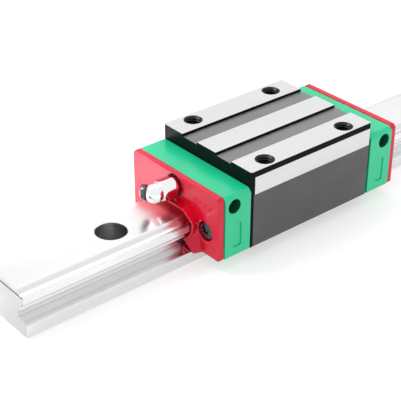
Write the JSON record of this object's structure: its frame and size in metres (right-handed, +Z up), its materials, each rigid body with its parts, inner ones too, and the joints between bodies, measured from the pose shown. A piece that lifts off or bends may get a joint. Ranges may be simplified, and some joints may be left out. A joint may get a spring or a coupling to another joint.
{
  "type": "linear guide carriage",
  "caption": "Square recirculating ball carriage on a ground steel profile rail, with plastic end caps, rubber end seals, tapped top holes and an angled grease nipple.",
  "frame": {"origin": "centre of the rail's underside, half way along the rail", "axes": "+X across the rail to the carriage's datum side, +Y along the rail away from the grease nipple, +Z up out of the carriage's mounting face"},
  "size_m": [0.048, 0.264, 0.0343],
  "materials": {
    "ground_steel": "fine ground, bright",
    "blackened_steel": "satin dark, with bright ground strips",
    "green_plastic": "moulded, satin",
    "red_rubber": "moulded, satin gloss",
    "black_steel": "black oxide",
    "chrome": "bright plated",
    "bearing_steel": "polished",
    "black_plastic": "moulded",
    "spring_steel": "drawn wire"
  },
  "bodies": {
    "rail": {"guide_rail": "ground_steel"},
    "carriage": {"carriage_block": "blackened_steel", "front_end_cap": "green_plastic", "rear_end_cap": "green_plastic", "front_end_seal": "red_rubber", "rear_end_seal": "red_rubber", "front_left_seal_screw": "black_steel", "front_right_seal_screw": "black_steel", "rear_left_seal_screw": "black_steel", "rear_right_seal_screw": "black_steel", "top_ball_retainer": "black_plastic", "left_middle_ball_retainer": "black_plastic", "right_middle_ball_retainer": "black_plastic", "left_lower_ball_retainer": "black_plastic", "right_lower_ball_retainer": "black_plastic", "left_bottom_seal": "red_rubber", "right_bottom_seal": "red_rubber", "left_upper_ball_circuit": "bearing_steel", "left_lower_ball_circuit": "bearing_steel", "right_upper_ball_circuit": "bearing_steel", "right_lower_ball_circuit": "bearing_steel", "front_left_upper_return_guide": "black_plastic", "front_left_lower_return_guide": "black_plastic", "front_right_upper_return_guide": "black_plastic", "front_right_lower_return_guide": "black_plastic", "rear_left_upper_return_guide": "black_plastic", "rear_left_lower_return_guide": "black_plastic", "rear_right_upper_return_guide": "black_plastic", "rear_right_lower_return_guide": "black_plastic", "grease_nipple": "chrome", "nipple_nozzle": "black_steel", "nipple_spring": "spring_steel", "rear_lubrication_plug": "black_steel"},
    "check_ball": {"nipple_check_ball": "bearing_steel"}
  },
  "joints": [
    {"name": "carriage_slide", "type": "slide", "parent": "rail", "child": "carriage", "axis": [0, 1, 0], "range_m": [-0.066, 0.106]},
    {"name": "check_ball_lift", "type": "slide", "parent": "carriage", "child": "check_ball", "axis": [0.8576, 0.5, 0.1205], "range_m": [0, 0.0006], "stiffness_N_per_m": 250, "deforming": ["nipple_spring"]}
  ]
}
